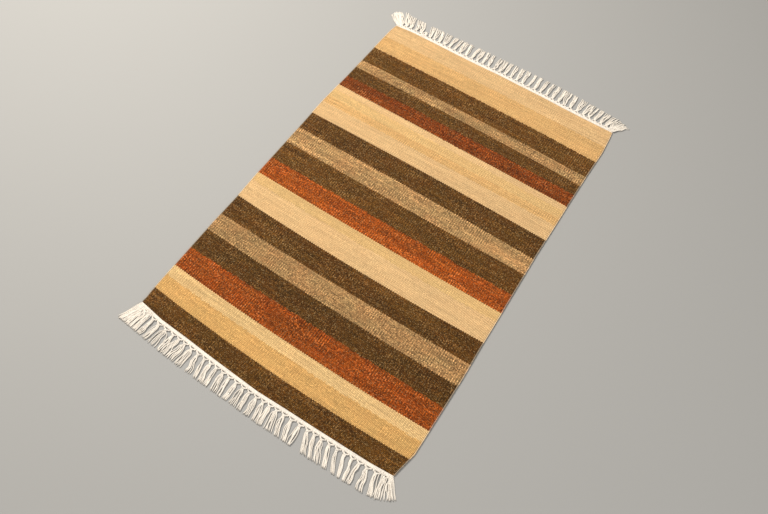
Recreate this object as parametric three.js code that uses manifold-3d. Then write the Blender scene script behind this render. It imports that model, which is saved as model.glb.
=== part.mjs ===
// A flat-woven kilim rug, lying flat, with a white header and a knotted fringe at each end.
// Millimetres, +Z up. X runs across the rug and Y along it, from the near end to the far end.
// The tables measure across from the left side and along from the near end, as a weaver would.
// The origin is below the middle of the whole rug, on the surface that it lies on.

import * as THREE from "three";
import { mergeVertices } from "three/addons/utils/BufferGeometryUtils.js";
import Module from "manifold-3d";

const wasm = await Module();
wasm.setup();

// The cloth
const CLOTH_WIDTH = 600;
const CLOTH_LENGTH = 920;
const CLOTH_THICKNESS = 2.8;
const SELVEDGE_THICKNESS = 3.3;
const EDGE_THICKNESS = 1.7;
const SELVEDGE_WIDTH = 4;
const CLOTH_RELIEF = 0.18;
const RELIEF_LENGTHS = { across: 47, slanting: 90, along: 61 };
const GRID_STEP = 60;
const SIDE_RIM_STATIONS = [0, 1.2, 2.6, 4.6, 12];
const END_RIM_STATIONS = [0, 1.2, 14, 30];

// The white header and the bundles that hang from it
const HEADER_GAP = 0.3;
const HEADER_THICKNESS = 2.3;
const ARCH_DEPTH = 9.9;
const NECK_DEPTH = 12.4;
const NECK_HALF_WIDTH = 2.6;

// The knots
const KNOT_DEPTH = 12.2;
const KNOT_SIDES = 4;
const KNOT_HALF_WIDTH = 3;
const KNOT_HALF_LENGTH = 2.1;
const KNOT_THICKNESS = 3.4;
const KNOT_TOP_SHARE = 0.6;

// The locks of yarn that fan out below each knot
const LOCKS_PER_BUNDLE = 3;
const LOCK_STEPS = 3;
const LOCK_START_DEPTH = 13;
const LOCK_ROOT_SPACING = 1.9;
const LOCK_ROOT_WIDTH = 1.9;
const LOCK_TIP_WIDTH = 2.4;
const LOCK_ROOT_HEIGHT = 2;
const LOCK_TIP_HEIGHT = 1.4;
const LOCK_SIDE_ROOM = 0.3;
const LEAST_LOCK_SPACING = 3;
const LOCK_WAVE = 0.7;
const WAVES_PER_LOCK = 1.3;
const LEAN_BEND = 1.2;
const TIP_STAGGER = 0.8;

// How far the wave of each bundle's locks is turned on from that of the bundle before
const WAVE_TURN = 1.9;

// The two yarns as plain colours
const WOOL = { color: 0xb48a5a, roughness: 0.95 };
const COTTON = { color: 0xf2ead8, roughness: 0.9 };

// Corners closer together than this are one corner
const MERGE_DISTANCE = 1e-4;

// Left and right selvedge, at distances along the rug
const SIDE_LINES = [
  { along: 0, left: 2.5, right: 588.5 },
  { along: 14, left: 3, right: 591 },
  { along: 26, left: 2, right: 593.8 },
  { along: 38, left: 2, right: 596.2 },
  { along: 52, left: 1.6, right: 599.2 },
  { along: 140, left: 0.8, right: 600.5 },
  { along: 220, left: 0, right: 601.5 },
  { along: 300, left: 1, right: 599.8 },
  { along: 380, left: -0.8, right: 599.5 },
  { along: 540, left: -1, right: 598 },
  { along: 620, left: -2, right: 599.2 },
  { along: 700, left: 1.2, right: 599.8 },
  { along: 780, left: 3.2, right: 600.8 },
  { along: 860, left: 4.8, right: 603.2 },
  { along: 900, left: 6, right: 600.6 },
  { along: 920, left: 9, right: 598.8 },
];

// Near and far end of the cloth, at distances across the rug
const END_LINES = [
  { across: 0, near: 12.6, far: 920 },
  { across: 12, near: 11, far: 922.4 },
  { across: 60, near: 4.5, far: 925.8 },
  { across: 120, near: 2.2, far: 925.4 },
  { across: 180, near: -1.2, far: 924.4 },
  { across: 240, near: -3.8, far: 924.2 },
  { across: 300, near: -6.2, far: 925.2 },
  { across: 360, near: -4.2, far: 924.2 },
  { across: 420, near: -3, far: 923.6 },
  { across: 480, near: -1.2, far: 921.4 },
  { across: 540, near: 0.5, far: 920.4 },
  { across: 588, near: 4.6, far: 920.5 },
  { across: 600, near: 5.6, far: 920.5 },
];

// Each fringe: where every bundle is knotted, between which places across its tips lie, by how much it
// is too short, and the line that the other tips end on
const NEAR_FRINGE = {
  name: "near_fringe",
  outward: -1,
  headerFrom: 3.4,
  headerTo: 588.6,
  slotDepth: 8,
  slotWidthShare: 0.6,
  slotHalfLength: 1,
  bundles: [
    { knot: 11, left: -14, right: 3 },
    { knot: 21.5, left: 5.5, right: 21.5 },
    { knot: 32, left: 24, right: 32.5 },
    { knot: 45.5, left: 34.5, right: 46 },
    { knot: 61.5, left: 48.5, right: 62 },
    { knot: 80, left: 66, right: 88 },
    { knot: 98.5, left: 90, right: 102 },
    { knot: 113.5, left: 104, right: 115 },
    { knot: 128.5, left: 117.5, right: 132.5 },
    { knot: 145.5, left: 134.5, right: 151 },
    { knot: 162.5, left: 160.5, right: 172 },
    { knot: 178.5, left: 181, right: 190 },
    { knot: 193.5, left: 192, right: 204.5 },
    { knot: 208, left: 206.5, right: 215 },
    { knot: 223.8, left: 221, right: 237 },
    { knot: 239.6, left: 239, right: 247 },
    { knot: 255.9, left: 249.5, right: 262.5 },
    { knot: 272.5, left: 264.5, right: 282.5 },
    { knot: 287.5, left: 284.5, right: 297 },
    { knot: 303.8, left: 299.5, right: 313 },
    { knot: 319.3, left: 315.5, right: 331 },
    { knot: 333.5, left: 333, right: 343 },
    { knot: 348.9, left: 347, right: 365.5 },
    { knot: 364.9, left: 368, right: 382 },
    { knot: 381.5, left: 387.5, right: 394 },
    { knot: 399.5, left: 396, right: 406 },
    { knot: 417, left: 428, right: 439 },
    { knot: 431.5, left: 441, right: 451.5 },
    { knot: 446.5, left: 453.5, right: 469.5 },
    { knot: 463.4, left: 472, right: 484 },
    { knot: 479.6, left: 492.5, right: 502.5 },
    { knot: 495.3, left: 504.5, right: 511 },
    { knot: 510.3, left: 514.5, right: 521 },
    { knot: 525.3, left: 523, right: 531.5 },
    { knot: 541.5, left: 541.5, right: 555 },
    { knot: 558.8, left: 564.5, right: 573.5 },
    { knot: 575.3, left: 576, right: 590 },
    { knot: 587, left: 598.5, right: 612 },
  ],
  tipLine: [
    { across: -14, along: -37.5 },
    { across: 0, along: -38 },
    { across: 13, along: -39 },
    { across: 30, along: -41 },
    { across: 63, along: -43.5 },
    { across: 90, along: -46 },
    { across: 116, along: -47.5 },
    { across: 150, along: -48.7 },
    { across: 200, along: -50.3 },
    { across: 250, along: -51.6 },
    { across: 300, along: -52.6 },
    { across: 330, along: -53 },
    { across: 400, along: -52.7 },
    { across: 460, along: -52 },
    { across: 500, along: -51 },
    { across: 550, along: -49 },
    { across: 575, along: -46 },
    { across: 590, along: -41.5 },
    { across: 600, along: -36 },
    { across: 612, along: -28 },
  ],
};

const FAR_FRINGE = {
  name: "far_fringe",
  outward: 1,
  headerFrom: 8.8,
  headerTo: 598.6,
  slotDepth: 7.6,
  slotWidthShare: 0.42,
  slotHalfLength: 1.4,
  bundles: [
    { knot: 19, left: -21.7, right: 2 },
    { knot: 30.5, left: 9, right: 25 },
    { knot: 43, left: 27.5, right: 40 },
    { knot: 58, left: 42.5, right: 55.5 },
    { knot: 73, left: 57.5, right: 68 },
    { knot: 86, left: 80, right: 88, shortBy: 26 },
    { knot: 98.5, left: 86.5, right: 96 },
    { knot: 111, left: 98, right: 109.5 },
    { knot: 125.5, left: 111.5, right: 123 },
    { knot: 140.5, left: 127.5, right: 147 },
    { knot: 155, left: 154, right: 163 },
    { knot: 169, left: 165, right: 174 },
    { knot: 185, left: 178, right: 191 },
    { knot: 202, left: 194, right: 205 },
    { knot: 218, left: 216, right: 225.5 },
    { knot: 233, left: 227.5, right: 237 },
    { knot: 248, left: 241, right: 249.5 },
    { knot: 264, left: 256, right: 265.5 },
    { knot: 280, left: 273.5, right: 286 },
    { knot: 294.5, left: 288, right: 300 },
    { knot: 309, left: 305, right: 315.5 },
    { knot: 325, left: 317.5, right: 328 },
    { knot: 341, left: 336, right: 347 },
    { knot: 356.5, left: 349, right: 359.5 },
    { knot: 373, left: 370, right: 378 },
    { knot: 389, left: 384, right: 393.5 },
    { knot: 405, left: 404, right: 412.5 },
    { knot: 421.5, left: 419.5, right: 427.5 },
    { knot: 437.5, left: 433, right: 443 },
    { knot: 453.5, left: 450, right: 460 },
    { knot: 469, left: 462, right: 473 },
    { knot: 485, left: 479, right: 490 },
    { knot: 502.5, left: 495, right: 510 },
    { knot: 519, left: 520, right: 530.5 },
    { knot: 533.5, left: 532.5, right: 545 },
    { knot: 548.5, left: 548, right: 560 },
    { knot: 563.5, left: 562.5, right: 577 },
    { knot: 578, left: 580, right: 597 },
    { knot: 590.5, left: 602, right: 623 },
  ],
  tipLine: [
    { across: -21.7, along: 955 },
    { across: -18, along: 962 },
    { across: -8, along: 969 },
    { across: 2, along: 973 },
    { across: 9, along: 979 },
    { across: 16, along: 975 },
    { across: 25, along: 973 },
    { across: 90, along: 972.7 },
    { across: 138, along: 973.5 },
    { across: 200, along: 974.6 },
    { across: 300, along: 976 },
    { across: 345, along: 976.5 },
    { across: 440, along: 976 },
    { across: 465, along: 974 },
    { across: 500, along: 972 },
    { across: 520, along: 970 },
    { across: 545, along: 968.5 },
    { across: 577, along: 966 },
    { across: 605, along: 963.5 },
    { across: 615, along: 959.5 },
    { across: 623, along: 953 },
  ],
};

// Straight-line reading of one column of a table at a place along its key column.
function lookUp(rows, key, column, at) {
  const last = rows.length - 1;
  if (at <= rows[0][key]) return rows[0][column];
  if (at >= rows[last][key]) return rows[last][column];
  const next = rows.findIndex((row) => row[key] > at);
  const share = (at - rows[next - 1][key]) / (rows[next][key] - rows[next - 1][key]);
  return THREE.MathUtils.lerp(rows[next - 1][column], rows[next][column], share);
}

// The place on the rug of a point of an even, square-cornered sheet of the same size.
function clothPoint(across, along) {
  const left = lookUp(SIDE_LINES, "along", "left", along);
  const right = lookUp(SIDE_LINES, "along", "right", along);
  const x = THREE.MathUtils.lerp(left, right, across / CLOTH_WIDTH);
  const near = lookUp(END_LINES, "across", "near", x);
  const far = lookUp(END_LINES, "across", "far", x);
  return { x, y: THREE.MathUtils.lerp(near, far, along / CLOTH_LENGTH) };
}

// How thick the cloth is: thin at its rim, a bead along each selvedge, and slightly uneven inside.
function clothThickness(across, along) {
  const fromSide = Math.min(across, CLOTH_WIDTH - across);
  const fromEnd = Math.min(along, CLOTH_LENGTH - along);
  if (fromSide === 0 || fromEnd === 0) return EDGE_THICKNESS;
  if (fromSide < SELVEDGE_WIDTH) return SELVEDGE_THICKNESS;
  const slanting = Math.sin(across / RELIEF_LENGTHS.across + along / RELIEF_LENGTHS.slanting);
  return CLOTH_THICKNESS + CLOTH_RELIEF * slanting * Math.cos(along / RELIEF_LENGTHS.along);
}

// The distances at which the cloth's surface has a grid line, close together at its rim.
function stations(length, rimStations) {
  const fromFarRim = rimStations.map((station) => length - station).reverse();
  const between = [];
  for (let at = GRID_STEP; at < length - GRID_STEP / 2; at += GRID_STEP) between.push(at);
  return [...rimStations, ...between, ...fromFarRim];
}

const acrossStations = stations(CLOTH_WIDTH, SIDE_RIM_STATIONS);
const alongStations = stations(CLOTH_LENGTH, END_RIM_STATIONS);

// The woven cloth: a grid-lined box whose points are moved to the rug's own outline.
function clothGeometry() {
  const columns = acrossStations.length - 1;
  const rows = alongStations.length - 1;
  const geometry = new THREE.BoxGeometry(1, 1, 1, columns, rows, 1);
  const points = geometry.attributes.position;
  for (let i = 0; i < points.count; i++) {
    const across = acrossStations[Math.round((points.getX(i) + 0.5) * columns)];
    const along = alongStations[Math.round((points.getY(i) + 0.5) * rows)];
    const place = clothPoint(across, along);
    const top = points.getZ(i) > 0 ? clothThickness(across, along) : 0;
    points.setXYZ(i, place.x, place.y, top);
  }
  return geometry;
}

// The end of the cloth that a fringe hangs from, as points from left to right.
function clothEnd(fringe) {
  const along = fringe.outward < 0 ? 0 : CLOTH_LENGTH;
  return acrossStations.map((across) => clothPoint(across, along));
}

// How many locks a lock lies to the right of its bundle's middle one.
function placeInBundle(lock) {
  return lock - (LOCKS_PER_BUNDLE - 1) / 2;
}

// The bundles of a fringe, each with its place on the rug's end, the middles between it and its
// neighbours, and the places across and along where its three locks end.
function bundlesOf(fringe) {
  const end = clothEnd(fringe);
  const rows = fringe.bundles;
  return rows.map((row, i) => {
    const tipAcross = (row.left + row.right) / 2;
    const halfWidth = (row.right - row.left) / 2;
    const reach = Math.max(halfWidth - LOCK_TIP_WIDTH / 2 - LOCK_SIDE_ROOM, LEAST_LOCK_SPACING);
    const shortening = fringe.outward * (row.shortBy ?? 0);
    return {
      across: row.knot,
      edge: lookUp(end, "x", "y", row.knot),
      before: i > 0 ? (rows[i - 1].knot + row.knot) / 2 : fringe.headerFrom,
      after: i < rows.length - 1 ? (row.knot + rows[i + 1].knot) / 2 : fringe.headerTo,
      tipAcross,
      locks: Array.from({ length: LOCKS_PER_BUNDLE }, (_, lock) => {
        const offset = placeInBundle(lock) * reach;
        const tipAlong = lookUp(fringe.tipLine, "across", "along", tipAcross + offset);
        return { offset, along: tipAlong - shortening };
      }),
      phase: WAVE_TURN * i,
    };
  });
}

// The header with its arches between the bundles and a slot above each knot.
function headerGeometry(fringe, bundles) {
  const { outward } = fringe;
  const end = clothEnd(fringe);
  const edgeAt = (across) => lookUp(end, "x", "y", across);
  const outline = [];
  const { headerFrom: from, headerTo: to } = fringe;
  outline.push([from, edgeAt(from) + outward * HEADER_GAP]);
  for (const { x, y } of end.filter((point) => point.x > from && point.x < to)) {
    outline.push([x, y + outward * HEADER_GAP]);
  }
  outline.push([to, edgeAt(to) + outward * HEADER_GAP]);
  for (const bundle of [...bundles].reverse()) {
    outline.push([bundle.after, edgeAt(bundle.after) + outward * ARCH_DEPTH]);
    outline.push([bundle.across + NECK_HALF_WIDTH, bundle.edge + outward * NECK_DEPTH]);
    outline.push([bundle.across - NECK_HALF_WIDTH, bundle.edge + outward * NECK_DEPTH]);
  }
  outline.push([from, edgeAt(from) + outward * ARCH_DEPTH]);
  const corners = outline.map(([x, y]) => new THREE.Vector2(x, y));
  if (THREE.ShapeUtils.isClockWise(corners)) corners.reverse();
  const shape = new THREE.Shape(corners);
  for (const bundle of bundles) {
    const middle = bundle.edge + outward * fringe.slotDepth;
    const nearest = Math.min(bundle.across - bundle.before, bundle.after - bundle.across);
    const slotHalfWidth = nearest * fringe.slotWidthShare;
    const { slotHalfLength } = fringe;
    const slot = [
      [-slotHalfWidth, -slotHalfLength],
      [slotHalfWidth, -slotHalfLength],
      [slotHalfWidth, slotHalfLength],
      [-slotHalfWidth, slotHalfLength],
    ];
    shape.holes.push(
      new THREE.Path(slot.map(([x, y]) => new THREE.Vector2(bundle.across + x, middle + y))),
    );
  }
  return new THREE.ExtrudeGeometry(shape, { depth: HEADER_THICKNESS, bevelEnabled: false });
}

// A knot: a low four-sided block that narrows towards its top.
function knotGeometry(fringe, bundle) {
  const geometry = new THREE.CylinderGeometry(KNOT_TOP_SHARE, 1, 1, KNOT_SIDES);
  geometry.rotateY(Math.PI / KNOT_SIDES);
  geometry.rotateX(Math.PI / 2);
  geometry.scale(KNOT_HALF_WIDTH * Math.SQRT2, KNOT_HALF_LENGTH * Math.SQRT2, KNOT_THICKNESS);
  geometry.translate(
    bundle.across,
    bundle.edge + fringe.outward * KNOT_DEPTH,
    KNOT_THICKNESS / 2,
  );
  return geometry;
}

// One lock of yarn: a three-sided bar, flat side down, bent along its way from the knot to the tip.
function lockGeometry(fringe, bundle, lock) {
  const section = new THREE.Shape([
    new THREE.Vector2(-0.5, 0),
    new THREE.Vector2(0.5, 0),
    new THREE.Vector2(0, 1),
  ]);
  const fromMiddle = placeInBundle(lock);
  const geometry = new THREE.ExtrudeGeometry(section, {
    depth: 1,
    steps: LOCK_STEPS,
    bevelEnabled: false,
  });
  const rootOffset = fromMiddle * LOCK_ROOT_SPACING;
  const rootAlong = bundle.edge + fringe.outward * LOCK_START_DEPTH;
  const tip = bundle.locks[lock];
  const tipAlong = tip.along - fringe.outward * TIP_STAGGER * Math.abs(fromMiddle);
  const points = geometry.attributes.position;
  for (let i = 0; i < points.count; i++) {
    const share = points.getZ(i);
    const width = THREE.MathUtils.lerp(LOCK_ROOT_WIDTH, LOCK_TIP_WIDTH, share);
    const height = THREE.MathUtils.lerp(LOCK_ROOT_HEIGHT, LOCK_TIP_HEIGHT, share);
    const fan = THREE.MathUtils.lerp(rootOffset, tip.offset, share);
    const lean = (bundle.tipAcross - bundle.across) * share ** LEAN_BEND;
    const turn = 2 * Math.PI * WAVES_PER_LOCK * share + bundle.phase;
    const wave = LOCK_WAVE * Math.sin(Math.PI * share) * Math.sin(turn);
    const across = bundle.across + fan + lean + wave + points.getX(i) * width;
    const along = THREE.MathUtils.lerp(rootAlong, tipAlong, share);
    points.setXYZ(i, across, along, points.getY(i) * height);
  }
  if (fringe.outward > 0) turnInsideOut(geometry);
  return geometry;
}

// Turns every face round, for a bar that was run towards +Y and so was mirrored.
function turnInsideOut(geometry) {
  const points = geometry.attributes.position;
  const first = new THREE.Vector3();
  const second = new THREE.Vector3();
  for (let i = 0; i < points.count; i += 3) {
    first.fromBufferAttribute(points, i + 1);
    second.fromBufferAttribute(points, i + 2);
    points.setXYZ(i + 1, second.x, second.y, second.z);
    points.setXYZ(i + 2, first.x, first.y, first.z);
  }
}

// A closed geometry as a solid that can be joined to others.
function solidOf(geometry) {
  const bare = geometry.clone();
  bare.deleteAttribute("normal");
  bare.deleteAttribute("uv");
  const merged = mergeVertices(bare, MERGE_DISTANCE);
  return new wasm.Manifold(
    new wasm.Mesh({
      numProp: 3,
      vertProperties: merged.attributes.position.array,
      triVerts: new Uint32Array(merged.index.array),
    }),
  );
}

// A solid as a geometry again.
function geometryOf(solid) {
  const mesh = solid.getMesh();
  const geometry = new THREE.BufferGeometry();
  geometry.setAttribute("position", new THREE.BufferAttribute(new Float32Array(mesh.vertProperties), 3));
  geometry.setIndex(new THREE.BufferAttribute(new Uint32Array(mesh.triVerts), 1));
  geometry.computeVertexNormals();
  return geometry;
}

// A whole fringe: the header with every knot and lock joined to it.
function fringeGeometry(fringe) {
  const bundles = bundlesOf(fringe);
  let whole = solidOf(headerGeometry(fringe, bundles));
  for (const bundle of bundles) {
    whole = whole.add(solidOf(knotGeometry(fringe, bundle)));
    for (let lock = 0; lock < LOCKS_PER_BUNDLE; lock++) {
      whole = whole.add(solidOf(lockGeometry(fringe, bundle, lock)));
    }
  }
  return geometryOf(whole);
}

// One named piece of the rug, with its own material.
function piece(name, geometry, yarn) {
  const material = new THREE.MeshStandardMaterial({ ...yarn, metalness: 0 });
  const mesh = new THREE.Mesh(geometry, material);
  mesh.name = name;
  return mesh;
}

const rug = new THREE.Group();
rug.add(piece("woven_field", clothGeometry(), WOOL));
rug.add(piece(NEAR_FRINGE.name, fringeGeometry(NEAR_FRINGE), COTTON));
rug.add(piece(FAR_FRINGE.name, fringeGeometry(FAR_FRINGE), COTTON));

// The group is moved so that its origin lies under the middle of the whole rug
const middle = new THREE.Box3().setFromObject(rug).getCenter(new THREE.Vector3());
rug.position.set(-middle.x, -middle.y, 0);

export default rug;
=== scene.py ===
# %% [markdown]
# # A small striped kilim
#
# A kilim is a flat-woven rug: the wool weft is beaten down until it hides the
# cotton warp, so the face shows nothing but little wool beads in rows, each
# one lying over a warp. The white warps come out at both ends, where they are
# bound by a header and knotted into a fringe. This script dresses the packed
# model of such a rug, with arrays for the shapes and sums for the shaders.

import bpy
import numpy as np
from mathutils import Matrix, Vector


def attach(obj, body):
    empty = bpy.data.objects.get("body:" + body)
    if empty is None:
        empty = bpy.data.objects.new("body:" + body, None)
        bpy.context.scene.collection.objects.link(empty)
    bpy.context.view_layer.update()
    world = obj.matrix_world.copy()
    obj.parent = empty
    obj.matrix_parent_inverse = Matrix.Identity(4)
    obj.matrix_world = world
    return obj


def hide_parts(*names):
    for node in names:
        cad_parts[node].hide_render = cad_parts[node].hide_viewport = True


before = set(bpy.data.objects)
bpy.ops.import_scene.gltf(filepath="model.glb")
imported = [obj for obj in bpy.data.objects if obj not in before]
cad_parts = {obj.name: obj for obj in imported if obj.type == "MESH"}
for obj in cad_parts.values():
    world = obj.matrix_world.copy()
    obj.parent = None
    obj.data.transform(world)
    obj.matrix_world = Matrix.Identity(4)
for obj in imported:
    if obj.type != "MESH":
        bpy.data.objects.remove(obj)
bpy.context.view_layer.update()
print("nodes:", sorted(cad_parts))

# %% [markdown]
# ## Sizes
#
# A weaver measures across the rug from the left selvedge and along it from the
# near end, in millimetres. The frame's origin lies under the middle of the
# whole rug, so one helper turns the weaver's measures into metres there.

# %% Sizes of the rug
MM = 0.001
CLOTH_WIDTH = 600.0
CLOTH_LENGTH = 920.0
MIDDLE_ACROSS = 300.65
MIDDLE_ALONG = 462.19
WARPS = 236
RIB = CLOTH_WIDTH / WARPS
PICK = 2.3
TAU = 2 * np.pi


def place(across, along, height):
    """Points in the frame: each measure less the middle's, in metres."""
    measures = np.broadcast_arrays(across - MIDDLE_ACROSS, along - MIDDLE_ALONG, height)
    return np.stack(measures, axis=-1) * MM


print(f"{WARPS} warps, {RIB:.2f} mm apart")

# %% [markdown]
# ## The camera
#
# The camera looks down from beyond the near right corner. A constraint could
# aim it, but the view also has a turn about the line of sight, so its axes are
# worked out: forward, then right and up turned by the roll, in radians.

# %% Place the camera
CAMERA_PLACE = Vector((0.3515, -0.6718, 1.2150))
CAMERA_AIM = Vector((0.0387, -0.1060, 0.0030))
CAMERA_ROLL = 0.0786
LENS_MM = 31.64
SENSOR_MM = 36.0


def add_to_scene(name, content):
    """A new object with this mesh, lamp or lens, in the scene."""
    thing = bpy.data.objects.new(name, content)
    bpy.context.scene.collection.objects.link(thing)
    return thing


def camera_axes(start, aim, roll):
    """Right, up and backward: level axes across the line of sight, turned about it by the roll."""
    ahead = (aim - start).normalized()
    level = ahead.cross(Vector((0, 0, 1))).normalized()
    over = level.cross(ahead)
    right = level * np.cos(roll) + over * np.sin(roll)
    return right, right.cross(ahead), -ahead


def make_camera():
    lens = bpy.data.cameras.new("camera")
    lens.lens = LENS_MM
    lens.sensor_width = SENSOR_MM
    camera = add_to_scene("camera", lens)
    turned = Matrix(camera_axes(CAMERA_PLACE, CAMERA_AIM, CAMERA_ROLL)).transposed()
    camera.matrix_world = Matrix.Translation(CAMERA_PLACE) @ turned.to_4x4()
    bpy.context.scene.camera = camera
    return camera


camera = make_camera()
print("camera at", [round(x, 3) for x in camera.matrix_world.translation])

# %% [markdown]
# ## Helpers for meshes
#
# A surface on a grid needs its points, its quads and, for a woven pattern, a
# UV map. Loops over thousands of points are slow in Python, so the arrays are
# written into the mesh whole.

# %% Mesh helpers


def new_piece(name, points, quads, uv, material, node):
    """A piece from points (n, 3), quads (m, 4) and a UV pair for each corner (m, 4, 2)."""
    mesh = bpy.data.meshes.new(name)
    mesh.vertices.add(len(points))
    mesh.vertices.foreach_set("co", points.astype(np.float32).ravel())
    mesh.loops.add(quads.size)
    mesh.loops.foreach_set("vertex_index", quads.astype(np.int32).ravel())
    mesh.polygons.add(len(quads))
    mesh.polygons.foreach_set("loop_start", np.arange(0, quads.size, 4, dtype=np.int32))
    layer = mesh.uv_layers.new(name="flat")
    mesh.update(calc_edges=True)
    layer.data.foreach_set("uv", uv.astype(np.float32).ravel())
    mesh.polygons.foreach_set("use_smooth", np.ones(len(quads), bool))
    mesh.validate()
    mesh.materials.append(material)
    piece = add_to_scene(name, mesh)
    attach(piece, "root")
    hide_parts(node)
    print(f"{name}: {2 * len(quads)} triangles")
    return piece


def grid_quads(rows, columns, wrap=False):
    """Quads of a grid of points, counted row by row; wrap joins the last column to the first."""
    across = np.arange(columns if wrap else columns - 1)
    right = (across + 1) % columns
    here = np.arange(rows - 1)[:, None] * columns
    after = here + columns
    quads = np.stack([here + across, here + right, after + right, after + across], -1)
    return quads.reshape(-1, 4)


# %% [markdown]
# ## Helpers for shaders
#
# Shader maths is easier to read as sums than as a web of nodes. A `Value`
# wraps a socket, and each operator on it adds one Math node. Colours go
# through Mix nodes, because a Math node would turn them grey.

# %% Shader helpers


class Value:
    """A number in a shader, for use in sums."""

    def __init__(self, shader, socket):
        self.shader, self.socket = shader, socket

    def math(self, operation, *others):
        return self.shader.value("ShaderNodeMath", [self, *others], operation=operation)

    def __add__(self, other):
        return self.math("ADD", other)

    def __sub__(self, other):
        return self.math("SUBTRACT", other)

    def __mul__(self, other):
        return self.math("MULTIPLY", other)

    def __truediv__(self, other):
        return self.math("DIVIDE", other)

    def __mod__(self, other):
        return self.math("FLOORED_MODULO", other)

    def __pow__(self, other):
        return self.math("POWER", other)

    def __gt__(self, other):
        """1 where this value is the greater, 0 elsewhere."""
        return self.math("GREATER_THAN", other)

    def __rsub__(self, other):
        return self.shader.value("ShaderNodeMath", [other, self], operation="SUBTRACT")

    __radd__ = __add__
    __rmul__ = __mul__

    def floor(self):
        return self.math("FLOOR")

    def between(self, low, high):
        """0 below low, 1 above high, and an even slope from one to the other."""
        return self.shader.value("ShaderNodeMapRange", [self, low, high, 0.0, 1.0], clamp=True)


class Shader:
    """A material and the nodes that are added to it."""

    def __init__(self, name):
        self.material = bpy.data.materials.new(name)
        self.material.use_nodes = True
        self.tree = self.material.node_tree
        self.surface = self.tree.nodes["Principled BSDF"]

    def node(self, kind, inputs, **settings):
        """A node of any kind: its settings first, then the values or links of its sockets."""
        node = self.tree.nodes.new(kind)
        for key, setting in settings.items():
            setattr(node, key, setting)
        pairs = inputs.items() if isinstance(inputs, dict) else enumerate(inputs)
        for key, given in pairs:
            if isinstance(given, Value):
                self.tree.links.new(given.socket, node.inputs[key])
            else:
                node.inputs[key].default_value = given
        return node

    def value(self, kind, inputs, output=0, **settings):
        """The same, as a value: one output of the new node."""
        return Value(self, self.node(kind, inputs, **settings).outputs[output])

    def parts(self, kind, whole):
        """The three outputs of a node that takes a colour or a point apart."""
        return [Value(self, output) for output in self.node(kind, [whole]).outputs]

    def flat(self):
        """Across and along on the woven cloth or along a yarn, in millimetres."""
        uv = self.value("ShaderNodeUVMap", [], uv_map="flat")
        across, along, _ = self.parts("ShaderNodeSeparateXYZ", uv)
        return across * (1 / MM), along * (1 / MM)

    def point(self, x, y, z):
        return self.value("ShaderNodeCombineXYZ", [x, y, z])

    def noise(self, kind, x, y):
        """Smooth noise from -0.5 to 0.5, of a kind (stretch of x, of y, scale, detail, seed)."""
        stretch_x, stretch_y, scale, detail, seed = kind
        at = self.point(x * stretch_x, y * stretch_y, seed)
        inputs = {"Vector": at, "Scale": scale, "Detail": detail}
        return self.value("ShaderNodeTexNoise", inputs) - 0.5

    def random(self, x, y, seed=0.0):
        """An unrelated number from -0.5 to 0.5 for each whole x and y."""
        return self.value("ShaderNodeTexWhiteNoise", [self.point(x, y, seed)]) - 0.5

    def ramp(self, factor, stops):
        """Steps from one colour to the next at (position, colour) stops."""
        node = self.node("ShaderNodeValToRGB", [factor])
        ramp = node.color_ramp
        ramp.interpolation = "CONSTANT"
        while len(ramp.elements) < len(stops):
            ramp.elements.new(0.5)
        for element, (position, colour) in zip(ramp.elements, stops):
            element.position = position
            element.color = (*colour, 1.0)
        return Value(self, node.outputs[0])

    def mix(self, factor, first, second, blend="MIX"):
        """A mix of two colours."""
        inputs = {0: factor, 6: first, 7: second}
        return self.value("ShaderNodeMix", inputs, output=2, data_type="RGBA", blend_type=blend)

    def multiply(self, first, second):
        """Two colours multiplied part by part."""
        return self.mix(1.0, first, second, "MULTIPLY")

    def grey(self, level):
        """A grey of a level, as a colour."""
        return self.value("ShaderNodeCombineColor", [level, level, level])

    def bump(self, height, distance):
        """A normal from a height; the distance is what a height of 1 stands for, in millimetres."""
        return self.value("ShaderNodeBump", {"Height": height, "Distance": distance * MM})

    def finish(self, colour, roughness, normal, **constants):
        """Link what varies to the surface, and set what is the same all over on its sockets."""
        for key, given in {"Base Color": colour, "Roughness": roughness, "Normal": normal}.items():
            self.tree.links.new(given.socket, self.surface.inputs[key])
        for key, given in constants.items():
            self.surface.inputs[key.replace("_", " ")].default_value = given
        print(f"{self.material.name}: {len(self.tree.nodes)} nodes")
        return self.material


# %% [markdown]
# ## The stripes
#
# Wool dyed in small lots gives the stripes their colours: cream and gold, rust,
# dark brown and a marled taupe. A row below gives each stripe's yarn and where
# it starts on the straight, taut cloth. Where a new lot of the same dye begins,
# a light stripe changes a little, and that is a row of its own. Laid on the
# floor, the cloth is pulled out of true, so each start also has a bow, by which
# both selvedges lie further along than the middle, and a tilt, by which the
# right selvedge does. The edge says over how many millimetres the start strays
# from bead to bead, and the shade multiplies the yarn's colour.

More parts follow.
